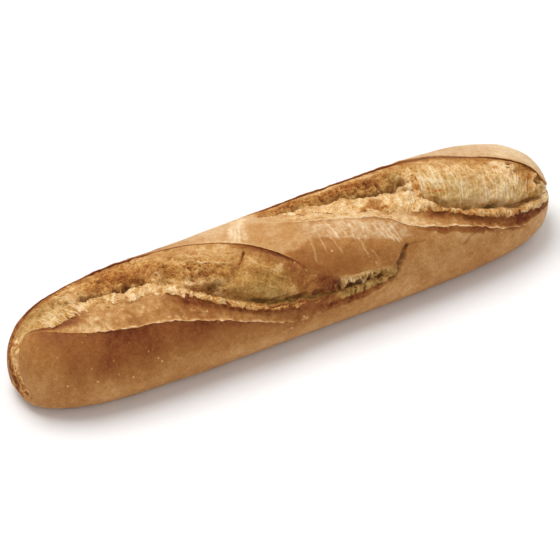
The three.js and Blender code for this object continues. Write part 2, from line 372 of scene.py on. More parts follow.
def crumb_marks(lines, bake):
    """The crumb piece of one slash, from under the rear crust to the ragged ridge on the terrace."""
    d, o = lines["depth"], lines["open"]
    rear, crevice, ridge = (lines[n] for n in ("rear", "crevice", "ridge"))
    sunk = (1 - o) * 1.3
    floor = -d - 2.2 - sunk
    stands = bake["stands"] * (1 - lines["notches"])
    edge = between(-0.05, -TERRACE_DIP + 0.03, bake["feather"])
    crest_at = bake["crest_at"]
    slope_dip = between(-0.9, -0.55, stands) * bake["crevice_dip"]

    def torn(turn, out, columns, name, rough, across):
        looks = {"crumb": bake[name + "_crumb"], "raw": bake[name + "_raw"], "dark": bake[name + "_deep"]}
        return mark(turn, out - sunk, columns, bake=bake[name], rough=rough, across=across, **looks)

    wall = (("groove", 8, 0.5, GROOVE_AT), ("wall", 14, 0.8, 0.3), ("bulge", 18, 1.0, BULGE_AT),
            ("flank", 24, 1.0, FLANK_AT))
    return [
        torn(rear - TUCK * DEG, -1.9, 0, "groove", 0.0, 0.0),
        torn(rear - 0.1 * DEG, -0.35 * o - 0.05 * d + bake["flush"], 4, "groove", 0.25, 0.0),
        *[torn(between(rear, crevice, at), -bake[name + "_dip"] * d, columns, name, rough, at)
          for name, columns, rough, at in wall],
        torn(crevice, -bake["crevice_dip"] * lines["uneven"] * d, 14, "crevice", 0.8, 1.0),
        torn(between(crevice, ridge, 0.4 * crest_at), slope_dip * d, 5, "slope", 0.9, 1.14),
        torn(between(crevice, ridge, crest_at), between(-0.5, -bake["crest_dip"], stands) * d, 9,
             "crest", 1.0, 1.34),
        torn(ridge - 0.4 * DEG, between(-0.35, edge, stands) * d, 18, "crest", 1.1, 1.9),
        torn(ridge + 0.7 * DEG * o * stands, between(-0.35, edge - 0.06, stands) * d, 5, "fringe", 1.1, 2.0),
        torn(ridge + 0.1 * DEG, -TERRACE_DIP * d - 0.9, 4, "fringe", 0.5, 2.0),
        mark(ridge - 1.6 * DEG, floor, 2, across=2.0, crumb=1.0),
        mark(between(rear, ridge, 0.5), floor - 1.0, 3, across=1.0, crumb=1.0),
        mark(rear - (TUCK + 0.1) * DEG, -2.6 - sunk, 4, crumb=1.0),
    ]


# ---- How far each place is baked: 0 is palest, 1 is darkest ----

# A crumb table is its stations and then its rows. For each mark: its level, and with _raw, _deep and
# _crumb how raw, how much painted shade and how crumb-like it is there. A _dip is a share of the slash's
# depth.
# A row that is shorter than the stations is level from its last value on.

CRUMB_MARKS = ("groove", "wall", "bulge", "flank", "crevice", "slope", "crest", "fringe")
LEFT_CRUMB = (-140, -125, -110, -95, -80, -66, -50, -35, -20, -5, 8, 14), {
    "stands": (1, 1, 1, 1, 1, 1, 1, 1, .85, .2, 0, 0),
    "crest_dip": (.12, .15, .3, .34, .34, .2, .12, .16, .28, .3, .3),
    "feather": (0, .3, .9, 1, .9, .2, 0, 0),
    "crest_at": (.34, .34, .34, .34, .34, .42, .5, .6, .7, .7),
    "flush": (0, 0, 0, 0, 0, 0, 0, 0, 0, .3, .8, 0),
    "groove_dip": (.3, .2, .15, .15, .15, .15, .15, .15, .15, .1, .1, .3),
    "wall_dip": (.2, .15, .25, .3, .3, .25, .12, .12, .14, .1, .1, .4),
    "bulge_dip": (.1, .1, .35, .45, .42, .3, .06, .06, .1, .14, .2, .5),
    "flank_dip": (.05, .05, .55, .78, .75, .5, .3, .28, .3, .36, .4, .55),
    "crevice_dip": (.1, .1, .8, 1, 1, .65, .85, .95, .86, .78, .66, .55),
    "groove": (.8, .78, .74, .72, .66, .52, .42, .44, .62, .8, .7, .42),
    "wall": (.64, .58, .54, .62, .68, .58, .5, .5, .62, .84, .84, .4),
    "bulge": (.5, .5, .56, .82, .82, .7, .7, .72, .76, .86, .88, .44),
    "flank": (.5, .46, .5, .76, .78, .66, .62, .52, .5, .8, .84, .44),
    "crevice": (.42, .4, .5, .75, .75, .7, .65, .6, .55, .6, .6, .4),
    "slope": (.42, .38, .4, .42, .42, .48, .54, .56, .56, .6, .56, .5),
    "crest": (.5, .44, .4, .38, .4, .42, .48, .54, .66, .72, .6, .5),
    "fringe": (.55, .54, .5, .46, .48, .54, .6, .66, .78, .8, .65, .6),
    "groove_raw": (0, 0, 0, 0, 0, .1, .2, .2, .1, 0, 0, .4),
    "wall_raw": (.3, .5, .2, 0, 0, .2, .3, .35, .5, .2, 0, .6),
    "bulge_raw": (.4, .7, .3, 0, 0, .1, .2, .4, .7, .4, .2, .7),
    "flank_raw": (.4, .7, .4, .3, .2, .1, .3, .6, .8, .4, .3, .9),
    "crevice_raw": (.4, .6, .5, .6, .4, .2, .4, .7, .8, .9, .9),
    "slope_raw": (.4, .5, .4, .3, .3, .3, .4, .5, .6, .6),
    "crest_raw": (.4, .4, .25, .1, .1, 0, 0, 0, 0, .1, .4, .6),
    "fringe_raw": (0, 0, 0, 0, 0, 0, 0, 0, 0, 0, .3, .5),
    "groove_deep": (.2, .15, .1, .1, .1, .05, 0, 0, .1, .1, .1, 0),
    "flank_deep": (0, 0, .2, .3, .3, .2, .15, .1, .05, .05, .1, .2),
    "crevice_deep": (0, 0, .36, .5, .5, .1, .05, .08, .1, .16, .2, .25),
    "slope_deep": (0, 0, .1, .2, .2, .2, .2, .2, .2, .3, .3),
    "groove_crumb": (1, 1, 1, 1, 1, .8, .5, .5, .4, 0, 0, 1),
    "wall_crumb": (1, 1, 1, 1, 1, 1, .7, .7, .9, .1, 0, 1),
    "bulge_crumb": (1, 1, 1, 1, 1, 1, 1, 1, 1, .3, 0, 1),
    "flank_crumb": (1, 1, 1, 1, 1, 1, 1, 1, .9, .3, .1, 1),
}
RIGHT_CRUMB = (0, 20, 40, 55, 66, 75, 90, 105, 118, 128, 136), {
    "feather": (1, 1, 1, 1, .5, 0, 0),
    "crest_at": (.34, .34, .34, .34, .34, .5, .55, .55, .5, .4, .4),
    "groove_dip": (.2, .2, .2, .2, .15, .1, .1, .1, .12, .2, .2),
    "wall_dip": (.3, .3, .3, .3, .2, .12, .1, .1, .12, .2, .2),
    "bulge_dip": (.4, .4, .42, .42, .15, .1, .08, .08, .1, .2, .2),
    "flank_dip": (.8, .8, .8, .8, .3, .35, .35, .35, .35, .3, .3),
    "crevice_dip": (1, 1, 1, .9, .4, .9, 1, 1, 1, .8, .6),
    "groove": (.6, .5, .42, .42, .42, .42, .42, .42, .42, .5, .45),
    "wall": (.74, .8, .84, .8, .6, .48, .44, .42, .4, .5, .4),
    "bulge": (.76, .84, .86, .8, .52, .42, .36, .34, .36, .5, .36),
    "flank": (.64, .7, .66, .62, .46, .26, .2, .22, .34, .5, .38),
    "crevice": (.6, .6, .6, .6, .45, .34, .32, .32, .38, .46, .36),
    "slope": (.4, .3, .3, .3, .4, .5, .5, .5, .5, .46, .36),
    "crest": (.44, .38, .36, .36, .42, .5, .54, .54, .54, .48, .36),
    "fringe": (.42, .4, .38, .42, .52, .6, .62, .62, .6, .54, .42),
    "wall_raw": (0, 0, 0, .1, .1, .1, .1, .1, .1, 0, 0),
    "bulge_raw": (0, 0, .1, .3, .4, .5, .6, .6, .4, .3, .3),
    "flank_raw": (.5, .5, .6, .6, .4, .7, .8, .8, .7, .5, .4),
    "crevice_raw": (.6, .6, .7, .7, .6, .8, .8, .8, .7, .4, .2),
    "slope_raw": (.3, .3, .3, .3, .3, .3, .3, .3, .3, .2, .2),
    "groove_deep": (.1, .1, .1, .1, .1, 0, 0, 0, 0, .1, .1),
    "flank_deep": (.1, .2, .3, .3, .1, 0, 0),
    "crevice_deep": (.4, .6, .6, .5, .3, .15, .1, .1, .1, .05, 0),
    "slope_deep": (.1, .2, .2, .2, .1, .1, .1, .1, .1, .1, 0),
    "groove_crumb": (1, 1, 1, 1, .9, .6, .5, .6, .8, 1, 1),
}


def crumb_looks(table, x):
    """The table's rows at every station, and the plain value of what it leaves out."""
    found = {"stands": 1.0, "feather": 0.0, "flush": 0.0, "crest_dip": CREST_DIP}
    for name in CRUMB_MARKS:
        found.update({name + "_raw": 0.0, name + "_deep": 0.0, name + "_crumb": 1.0})
    stations, rows = table
    return {**found, **curves({name: list(zip(stations, row)) for name, row in rows.items()}, x)}


LEFT_CRUST = {
    "rim_top": [(-145, .8), (-72, .8), (-58, .3), (-30, .16), (0, .2)],
    "rim_light": [(-145, 1), (-16, 1), (-4, 0), (145, 0)],
    "rim": [(-145, .98), (-72, .98), (-58, .6), (-35, .5), (-15, .75), (-5, .8), (4, .5), (40, .6)],
    "rim_height": [(-145, .25), (-70, .4), (-55, .2), (-28, .3), (-8, .3), (2, .15), (40, .3)],
    "under_cut": [(-145, .1), (-60, 0), (4, 0), (12, .8), (40, .5)],
    "foot": [(-135, .85), (-117, .82), (-108, .4), (-80, .4), (-70, .64), (-58, .88), (-14, .88),
        (4, .78), (14, .5), (34, .5), (40, .6)],
    "terrace": [(-135, .56), (-118, .38), (-104, .35), (-85, .44), (-65, .52), (-45, .56), (-15, .7),
        (5, .84), (30, .82), (42, .6)],
    "stringy": [(-145, 0), (6, 0), (14, 1), (33, 1), (38, 0), (145, 0)],
    "lip": [(-140, .3), (-120, .35), (-100, .12), (-30, .15), (-16, .55), (6, .72), (40, .6)],
    "lip_height": [(-140, .2), (-120, .3), (-100, .5), (-28, .5), (-6, .15), (40, .2)],
    "edge": [(-140, .6), (-120, .85), (-60, .85), (-10, .7), (10, .5), (40, .45)],
}
RIGHT_CRUST = {
    "rim_top": [(0, .6), (60, .5), (80, .3), (145, .14)],
    "rim_light": [(-145, 1), (145, 1)],
    "rim": [(0, .85), (60, .85), (80, .6), (110, .55), (122, .7), (140, .5)],
    "rim_height": [(0, .3), (60, .4), (80, .5), (130, .5), (140, .2)],
    "under_cut": [(0, .1), (60, .1), (80, .2), (105, .3), (115, .9), (130, .8), (140, .2)],
    "foot": [(0, .26), (50, .28), (60, .5), (70, .8), (100, .85), (125, .92), (140, .6)],
    "terrace": [(0, .3), (50, .3), (62, .4), (80, .55), (100, .7), (125, .95), (140, .5)],
    "stringy": [(-145, 0), (145, 0)],
    "lip": [(0, .05), (60, .05), (110, .12), (120, .4), (140, .4)],
    "lip_height": [(0, .5), (40, .6), (60, .5), (115, .5), (130, .2)],
    "edge": [(0, .36), (45, .4), (60, .58), (100, .6), (118, .5), (140, .4)],
}


# how far below the right slash's front edge the bridge is stretched and pale: station, degrees of turn
PALE_TO = [(-15, 45), (-6, 34), (0, 28), (6, 22), (45, 23), (52, 12)]
# thin raised folds on the bridge, each between two places
BRIDGE_FOLDS = [
    ((4.6, 20), (2.7, 42)), ((9.5, 24), (9, 38)), ((15, 28), (16.2, 42)), ((17.6, 14), (18, 30)),
    ((21.5, 20), (22.4, 33)), ((26.6, 20), (25, 34)), ((26.8, 35), (28.5, 54)), ((31, 49), (32.7, 57)),
    ((32.4, 24), (29.7, 40)), ((37, 27), (40, 44)), ((40.5, 30), (43.6, 49)), ((42, 29), (45.6, 51)),
    ((44.8, 33), (47, 50))
]


def stretched(x, turn, p):
    """How far below the right slash a place is, and 1 where the skin there is stretched and pale."""
    below = turn - along(RIGHT_SLASH["front"], x)
    limit = along(PALE_TO, x) + 3.4 * noise(p, 5, 59)
    return below, fade(below, limit + 1, limit - 1) * fade(x, 56, 50)


def crust_bake(x, turn, p):
    """The even browning of the smooth crust, away from the slashes."""
    front = along([
        (-145, 0.46), (-136, 0.56), (-129, 0.7), (-120, 0.8), (-106, 0.87), (-80, 0.82), (-50, 0.76),
        (-20, 0.68), (10, 0.54), (40, 0.46), (80, 0.44), (145, 0.34)], x)
    paler_below = fade(turn, 62, 100) * fade(x, 60, -30) * fade(x, -142, -112)
    front = front - between(0.44, 0.32, fade(x, -115, -85)) * paler_below
    back = along([
        (-145, 0.7), (-75, 0.7), (-52, 0.4), (-30, 0.18), (25, 0.24), (50, 0.4), (70, 0.25), (85, 0.26),
        (108, 0.28), (122, 0.2), (145, -0.04)], x)
    behind = along([(-145, 0.68), (-40, 0.46), (40, 0.34), (145, 0.1)], x) + 0.06 * layered(p, 30, 79, 2)
    back = between(back, behind, fade(turn, -52, -80))
    below, pale = stretched(x, turn, p)
    pale_level = along([(-60, 0.33), (-10, 0.35), (15, 0.4), (45, 0.45)], x)
    bridge = between(0.54 + 0.24 * fade(below, 22, 60), pale_level, pale)
    on_bridge = fade(x, -75, -55) * fade(x, 75, 45)
    top = between(front, bridge, on_bridge)
    over_end = 55 * fade(x, 85, 125)
    level = between(back, top, fade(turn, -28 + over_end, -12 + over_end))
    level = between(level, front, fade(turn, 50, 78))
    level = between(level, 0.42, fade(np.abs(turn), 105, 140))
    level = between(level, 0.16, fade(x, 128, 143.5))
    return level + 0.045 * layered(p, 22, 71, 3) + 0.05 * layered(p, 4, 75, 3)


# ---- Meshes ----

def tube_mesh(name, grid, start, end, looks):
    """A closed tube of rings, drawn to a point at both ends, with its looks as attributes."""
    rows, columns, _ = grid.shape
    points = np.concatenate([grid.reshape(-1, 3), [start, end]]) * MM
    r, c = np.indices((rows - 1, columns)).reshape(2, -1)
    corners = ((r, c), (r + 1, c), (r + 1, c + 1), (r, c + 1))
    quads = np.stack([row * columns + column % columns for row, column in corners], -1)
    first, last, base = rows * columns, rows * columns + 1, (rows - 1) * columns
    near_fan = [[first, k, (k + 1) % columns] for k in range(columns)]
    far_fan = [[base + k, last, base + (k + 1) % columns] for k in range(columns)]
    mesh = bpy.data.meshes.new(name)
    mesh.from_pydata(points.tolist(), [], quads.tolist() + near_fan + far_fan)
    mesh.polygons.foreach_set("use_smooth", [True] * len(mesh.polygons))
    for key, values in looks.items():
        values = np.concatenate([values.reshape(-1), [values[0].mean(), values[-1].mean()]])
        layer = mesh.attributes.new(key, "FLOAT", "POINT")
        layer.data.foreach_set("value", values.astype(np.float32))

    across = np.arange(columns + 1) / columns
    down = 0.02 + 0.96 * np.arange(rows) / (rows - 1)
    near, far = across[:-1], across[1:]
    middle = (near + far) / 2
    places = [[(across[column], down[row]) for row, column in corners],
              [(middle, 0.0), (near, down[0]), (far, down[0])],
              [(near, down[-1]), (middle, 1.0), (far, down[-1])]]
    unwrapped = [np.stack([np.stack(np.broadcast_arrays(u, v), -1) for u, v in group], 1).reshape(-1)
                 for group in places]
    uv = mesh.uv_layers.new(name="OFBake")
    uv.data.foreach_set("uv", np.concatenate(unwrapped).astype(np.float32))
    mesh.validate()
    piece = bpy.data.objects.new(name, mesh)
    scene.collection.objects.link(piece)
    return piece


def even_stations(count):
    """Stations spaced evenly over the loaf's skin, so that they crowd at the tips."""
    fine = HALF * np.sin(np.linspace(-math.pi / 2, math.pi / 2, 4001))[1:-1]
    line = skin(fine, 20.0)
    walked = np.concatenate([[0], np.cumsum(np.linalg.norm(np.diff(line, axis=0), axis=1))])
    return np.interp(np.linspace(0, walked[-1], count), walked, fine)


TIP_BAND_LEFT = 10.5     # width of the torn band that runs down the left tip


def tip_band(p):
    """The slash runs over the left tip and down it, as a band of crumb that narrows."""
    front_edge = 1.5 - 0.56 * (35.7 - p[..., 2])
    c = p[..., 1] - front_edge + 0.5 * noise(p, 3, 5)
    width = TIP_BAND_LEFT + 6 * fade(p[..., 2], 4, 34)
    inside = fade(c, -0.3, 0.3) * fade(c, width + 0.6, width - 0.6)
    return inside * fade(p[..., 0], -130, -136) * fade(p[..., 2] + 3 * noise(p, 2.5, 6), 6, 13), c, width


CRUST_ROWS = 560


def crust_rings(x, left, right):
    """Turn, height and looks of the crust's columns, right round the loaf and across both slashes."""
    swell = BRIDGE_SWELL * bump(x, BRIDGE_STATION, BRIDGE_HALF_LENGTH)
    left_marks = crust_marks(left, curves(LEFT_CRUST, x))
    left_marks[0]["columns"] = 14
    marks = [
        mark(-180.0, 0.0, 0), mark(-140.0, 0.0, 6), mark(BACK_TURN, 0.0, 6),
        mark(between(BACK_TURN, right["rear"], 0.6), 0.0, 8), *crust_marks(right, curves(RIGHT_CRUST, x)),
        mark(between(right["front"] + 5.5, left["rear"] - 5.2, 0.5), swell, 14), *left_marks,
        mark(between(left["front"], FRONT_TURN, 0.5), 0.0, 14), mark(FRONT_TURN, 0.0, 12),
        mark(180.0, 0.0, 7)
    ]
    turn, out, looks = rings(marks, x)
    return turn[:, :-1], out[:, :-1], {k: v[:, :-1] for k, v in looks.items()}


def make_crust(shift):
    stations = even_stations(CRUST_ROWS)
    left, right = slash_lines(LEFT_SLASH, stations, 1), slash_lines(RIGHT_SLASH, stations, 2)
    turn, out, looks = crust_rings(stations, left, right)
    x = np.broadcast_to(stations[:, None], turn.shape)
    p = skin(x, turn)
    terrace, lip = looks["terrace"], looks["lip"]

    # browning, and the torn band at the left tip
    own = looks["bake"] + 0.1 * layered(p, 12, 31, 3)
    bake = between(crust_bake(x, turn, p), own, looks["own"])
    band, across, width = tip_band(p)
    crumb = np.maximum(looks["crumb"] * fade(x, -140, -134), band)
    tip_bake = 0.5 + 0.34 * fade(across, width * 0.4, width * 0.9) + 0.2 * fade(p[..., 2], 22, 8)
    bake = between(bake, tip_bake + 0.2 * noise(p, 3, 9) + 0.34 * noise(p, 1.2, 10), band)

    # streaks along the terraces, strings and gaps in the torn foot, nicks in the lips
    beyond = [turn - lines["front"][:, None] for lines in (left, right)]
    nearest = np.where(np.abs(beyond[0]) < np.abs(beyond[1]), *beyond) * MM_PER_TURN
    streaks = noise(flat(x / 6, nearest / 1.3), 1.0, 47)
    stringy = looks["raw"] * terrace
    hung = noise(flat((x + 0.08 * turn) / 1.25, turn / 12), 1.0, 48)
    gaps = 0.9 * stringy * fade(hung, 0.0, 0.3)
    pimples = layered(p, 1.6, 51, 2)
    nicks = noise(p, 2.3, 61) + 0.7 * noise(p, 1.1, 62)

    # wrinkles and folds of the bridge, the scar, the split and two hairlines
    wrinkled, scar, paler_back_right = floury(x, turn, p)
    creased = p + wander(p, 5, 53, 2.2)
    crinkle = wrinkled * np.maximum(web(creased, 4.6, 57), 0.8 * web(creased, 2.6, 157))
    folds = np.maximum.reduce([crease(x, turn, p, *fold, 0.6) for fold in BRIDGE_FOLDS])
    scar_line = x + 0.3 * turn + 0.4 * noise(p, 3, 63)
    torn_lines = pulled_strands(scar_line, (turn + 44) / 52, 1.7, 0.5, 121)
    split = crease(x, turn, p, SPLIT_FROM, SPLIT_TO, between(1.4, 3.0, fade(turn, 54, 72)))
    hairline = 0.7 * np.maximum(
        crease(x, turn, p, SPLIT_FROM, (59, 58), 0.6),
        crease(x, turn, p, (88.5, 67), (78, 76), 0.7))

    handling = 0.28 * layered(p, 26, 41, 2) + 0.12 * layered(p, 7, 43, 2)
    out += handling * fade(p[..., 2], 0.5, 5)
    out = out + terrace * (0.22 * streaks + 0.2 * pimples) - 0.8 * gaps + 0.42 * lip * nicks
    out = out + 0.45 * crinkle - 0.1 * wrinkled + 0.34 * folds
    out = out + scar * (0.9 * torn_lines - 0.2 + 0.2 * pimples) - 1.8 * split - 0.4 * hairline
    out += band * (0.34 * layered(p, 2.2, 15, 3) - 0.6)
    moved = p + skin_normal(x, turn) * out[..., None]
    moved[..., 2] = np.maximum(moved[..., 2], 0)
    moved[..., 1] += shift

    reach = 5.6 + 4.4 * noise(flat(x / 5, 0 * turn), 1.0, 49)
    scallops = fade(beyond[1], 0.2, 0.8) * fade(beyond[1], reach + 0.8, reach - 0.8)
    scallops = scallops * fade(x, 54, 64) * fade(x, 122, 112)
    dusting = fade(noise(p, 1.2, 66), 0.1, 0.6) * fade(noise(p, 9, 67), -0.3, 0.4) * fade(x, -30, -60)
    bake = bake + terrace * (0.1 * streaks + 0.12 * pimples - 0.12 * dusting) - 0.1 * crinkle
    bake = bake - scar * (0.3 * torn_lines + 0.1) - 0.2 * folds
    bake = bake - 0.24 * lip * nicks + 0.3 * stringy * hung + 0.24 * scallops
    pale = terrace * fade(bake, 0.5, 0.25)
    flour = 0.14 * wrinkled + 0.42 * crinkle + 0.14 * folds + 0.3 * paler_back_right + scar * (0.08 + 0.7 * torn_lines)
    # painted shade in the split, in the two hairlines and in the gaps between the strings of the torn foot
    dark = split * (0.85 - 0.4 * fade(streaks, 0, 0.5)) + hairline * 0.5 + gaps
    raw = np.maximum(0.25 * pale, looks["raw"])
    looks = {"crumb": np.maximum(crumb, 0.5 * pale), "bake": bake, "raw": raw, "flour": np.clip(flour, 0, 1),
             "dark": np.clip(dark, 0, 1)}
    tips = [(end, shift, NOSE_HEIGHT - SETTLE) for end in (-HALF, HALF)]
    return tube_mesh("loaf_crust", moved, *tips, looks)


def floury(x, turn, p):
    """Where the crust is wrinkled and dusty, where a pale scar crosses it, and where its back is paler at the
    right.
    """
    below, pale = stretched(x, turn, p)
    wrinkled = pale * fade(x, -2, 12) * fade(below, 1, 4)
    paler_back_right = fade(x, 70, 95) * fade(turn, 10, -12)
    scar = fade(np.abs(x + 26.8 + 0.3 * turn + 1.2 * noise(p, 3, 65)), 5.2, 3.6)
    scar = scar * fade(turn + 5 * noise(p, 2, 68), 3, -4) * fade(turn, -40, -34)
    return wrinkled, scar, paler_back_right


CRUMB_SPACING = 0.36     # from one ring of a crumb piece to the next, in mm
# Caves are darkened with painted shade; those with half lengths below SMALL_HOLE get twice as much.
SMALL_HOLE = 1.4         # caves with half lengths below this, in mm, are the darkest
# caves in the crumb: station, turn, half sizes (mm, degrees), depth in mm
LEFT_CAVES = [
    ((-103, -7, 5, 3.5), 1.6), ((-89.5, -3.5, 3.5, 4), 2.0), ((-80.5, -4, 5, 4.5), 2.2),
    ((-65, -6, 3, 3.5), 1.6), ((-54.7, 17, 3, 3), 1.0), ((-47.5, 31, 5, 3), 1.4),
    ((-22, 63, 5, 2.5), 1.4), ((-11, 68, 5, 2.5), 1.6), ((-1, 70, 4, 3), 1.8),
    ((11, 70, 1.3, 6), 1.8), ((16, 78, 4, 3.5), 1.8), ((22, 77, 1.2, 5), 1.6),
    ((27, 77, 1.3, 4), 1.4), ((33, 78, 1.5, 3), 1.2)
]
RIGHT_CAVES = [
    ((12, -19, 7, 3), 1.0), ((28, -14, 7, 3), 1.4), ((45, -10, 6, 4), 1.6), ((57, -6, 4, 5), 1.8),
    ((64.3, -5, 3.5, 5), 1.2), ((88, 43, 4, 2.5), 1.0), ((104, 51, 4, 2.5), 1.0),
    ((121, 12, 1.35, 2.2), 1.4), ((119, 17.5, 1.3, 2.2), 1.3), ((121.5, 23.5, 1.35, 2.2), 1.3),
    ((134, 42, 3, 5), 1.5)
]

# folds on the crumb: two places, width and height in mm, change of level; a height below 0 is a groove,
# and a groove's browner level is painted shade in it
LEFT_FOLDS = [
    ((-26.6, 10), (-33, 20), 0.8, -1.1, 0.4), ((-71.5, 4), (-67.5, -3), 4.6, 2.0, 0),
    ((-45.7, -5), (-37, 9), 0.7, 0.6, -0.16), ((-50, 4.5), (-36.5, 18), 0.9, 0.8, -0.22),
    ((-53, 1), (-46, 7), 0.7, 0.5, -0.16), ((-26, 22), (-18, 37.5), 0.6, 0.4, -0.14),
    ((-24, 31.5), (-12.5, 50), 0.6, 0.4, -0.14), ((-29, 40), (-20, 54), 0.6, 0.4, -0.12)
]
RIGHT_FOLDS = [
    ((71.5, -4), (68.6, 8), 2.4, 1.6, 0.3), ((68.6, 8), (68.5, 16), 2.2, 2.4, 0.2),
    ((72.4, -2), (70.6, 10), 0.8, 1.0, -0.45), ((67, 2), (63.5, 10), 2.4, 1.4, -0.2),
    ((64.4, -10.5), (57, -1), 0.7, 0.8, -0.25), ((72.8, 1), (80.5, 11), 2.4, 0.8, -0.2),
    ((74, 12.5), (79, 18.5), 1.4, -0.6, 0.3), ((129.8, 33), (123.8, 52), 1.8, -0.5, 0.24),
    ((132.5, 33), (135.8, 52), 1.2, 1.0, -0.2), ((137, 56), (133, 71), 2.2, 1.0, -0.2)
]


def pulled_strands(along_it, down_it, spacing, width, seed):
    """Thin strands drawn down the crumb, unevenly spaced: 1 on a strand, 0 between them. Each begins
    and ends at a place of its own; down_it is 0 where they may begin and 1 where the last one ends."""
    cell = np.floor(along_it / spacing)
    found = np.zeros(along_it.shape)
    for neighbour in (-1, 0, 1):
        own = np.stack([cell + neighbour, 0 * cell, 0 * cell], -1)
        jitter, top, reach, thick = (cell_values(own, seed + k) for k in range(4))
        middle = (cell + neighbour + 0.5 + 0.45 * jitter) * spacing
        apart = (along_it - middle) / (width * (1 + 0.35 * thick))
        top = 0.28 + 0.28 * top
        foot = top + 0.4 + 0.25 * reach
        inside = fade(down_it, top - 0.08, top + 0.08) * fade(down_it, foot + 0.1, foot - 0.15)
        found = np.maximum(found, inside * np.exp(-apart ** 2) * np.clip(0.7 + 0.6 * thick, 0, 1))
    return found


def strongest(x, turn, p, folds, which):
    """The folds' heights (which = 0) or changes of level (1), with the strongest fold of each place."""
    found = 0 * x
    for start, end, width, *amounts in folds:
        inside = crease(x, turn, p, start, end, width) * amounts[which]
        found = np.where(np.abs(inside) > np.abs(found), inside, found)
    return found


def make_crumb(name, slash, table, reach, seed, shift, caves, folds, spots, textures):
    stations = np.linspace(*reach, int(round((reach[1] - reach[0]) / CRUMB_SPACING)))
    lines = slash_lines(slash, stations, seed)
    turn, out, looks = rings(crumb_marks(lines, crumb_looks(table, stations)), stations)
    x = np.broadcast_to(stations[:, None], turn.shape)
    base = skin(x, turn)
    n = skin_normal(x, turn)
    p = base + n * out[..., None]
    opened = lines["open"][:, None]
    across, rough = looks["across"], looks["rough"] * opened
    coarse = layered(p, 9, seed + 40, 2)
    middle = layered(p, 3.4, seed + 44, 2)
    kind = textures(x, across)
    fluff, skinned, drawn = (np.clip(kind[k], 0, 1) * rough for k in ("fluff", "skin", "strands"))

    # fluffy crumb: hairs and pits; skin-like crumb: streaks along the loaf
    pushed = p + wander(p, 7, seed + 56, 1.8)
    hairs = np.maximum.reduce([
        web(pushed, 3.4, seed + 90), web(pushed, 2.1, seed + 91), 0.85 * web(pushed, 1.3, seed + 92)])
    pits = bubbles(pushed, 2.4, seed + 60) - 0.62
    grit = noise(pushed, 1.1, seed + 93)
    lengthwise = pushed / [7, 1.7, 1.7]
    streaks = noise(lengthwise, 1.0, seed + 94) + 0.6 * noise(lengthwise * 2.1, 1.0, seed + 95)
    texture = fluff * (hairs - 0.35 + 0.6 * pits + 0.2 * grit) + skinned * (0.3 * streaks + 0.15 * grit)

    # drawn crumb: strands down the wall, ribs on the ridge and gaps between the strands
    slant = x + kind["lean"] * (turn * MM_PER_TURN)
    slant = slant + 1.2 * noise(p, 9, seed + 96) + 0.5 * noise(p, 3, seed + 97)
    down = kind["down"] + 0.12 * noise(p, 8, seed + 98)
    steeper = slant - 0.3 * turn * MM_PER_TURN
    thread = np.maximum.reduce([
        pulled_strands(slant, down, 2.6, 0.4, seed + 100),
        0.85 * pulled_strands(steeper, down, 1.9, 0.34, seed + 110),
        0.8 * pulled_strands(slant, down - 0.12, 1.5, 0.3, seed + 120)])
    combed = flat(slant / 0.95, turn * MM_PER_TURN / 4.5)
    ribs = noise(combed, 1.0, seed + 130) + 0.5 * noise(combed * 2.1, 1.0, seed + 131)
    texture = texture + drawn * (0.84 * thread - 0.14 + 0.16 * grit) + 0.5 * kind["ribs"] * rough * ribs
    texture += 0.16 * rough * noise(pushed, 0.75, seed + 99)
    gaps = kind["gaps"] * rough * np.clip(0.8 - 1.8 * thread, 0, 1) * fade(noise(p, 3, seed + 140), -0.4, 0.2)
    texture -= 0.8 * gaps

    # painted shade in each cave, and how deep it is dug
    cave_shade, dug = 0 * rough, 0 * rough
    for oval, depth in caves:
        inside = patch(x, turn, p, oval)
        cave_shade = np.maximum(cave_shade, inside * fade(depth, 0.7, 1.3) * (2 if oval[2] < SMALL_HOLE else 1))
        dug = np.maximum(dug, inside * depth)
    lumps = sum(height * np.sin(x * a + turn * b + phase) for a, b, phase, height in LUMPS)
    out = out + rough * (0.6 * lumps + 0.45 * coarse + 0.3 * middle) + texture - dug * opened
    out += strongest(x, turn, p, folds, 0)
    moved = base + n * out[..., None] + wander(p, 2.2, seed + 80, 0.6) * (fluff + 0.3 * rough)[..., None]
    moved[..., 1] += shift

    tint = layered(p, 8, seed + 85, 3)
    browner = strongest(x, turn, p, folds, 1)
    # raised crumb is paler and its pits browner: a painted highlight and painted shade at the fine scale
    bake = looks["bake"] + 0.11 * middle + 0.08 * coarse - 0.34 * texture - 0.15 * drawn * thread + browner
    # painted shadow: a browner band on the crumb just below the rear rim of the crust
    bake += kind["rim"] * fade(across, 0.11, 0.05)
    for oval, more in spots:
        bake += more * patch(x, turn, p, oval, 0.5)
    raw = looks["raw"] * (1 + 0.5 * coarse) + 0.26 * fade(tint, -0.1, -0.8) - 2.5 * np.maximum(browner, 0)
    # painted shade: deep in the slash, in the caves, in the gaps between strands and in the pits of the crumb
    dark = looks["dark"] * np.clip(1 + 1.3 * middle, 0.1, 2.2) + 0.36 * cave_shade + 0.2 * gaps
    dark += 0.45 * np.clip(-texture - 0.3, 0, 1)
    looks = {"crumb": looks["crumb"] * (1 - 0.4 * fade(tint, 0.0, 0.7)), "bake": bake,
             "raw": np.clip(raw, 0, 1), "flour": 0 * bake, "dark": np.clip(dark, 0, 0.92)}
    return tube_mesh(name, moved, moved[0].mean(0), moved[-1].mean(0), looks)


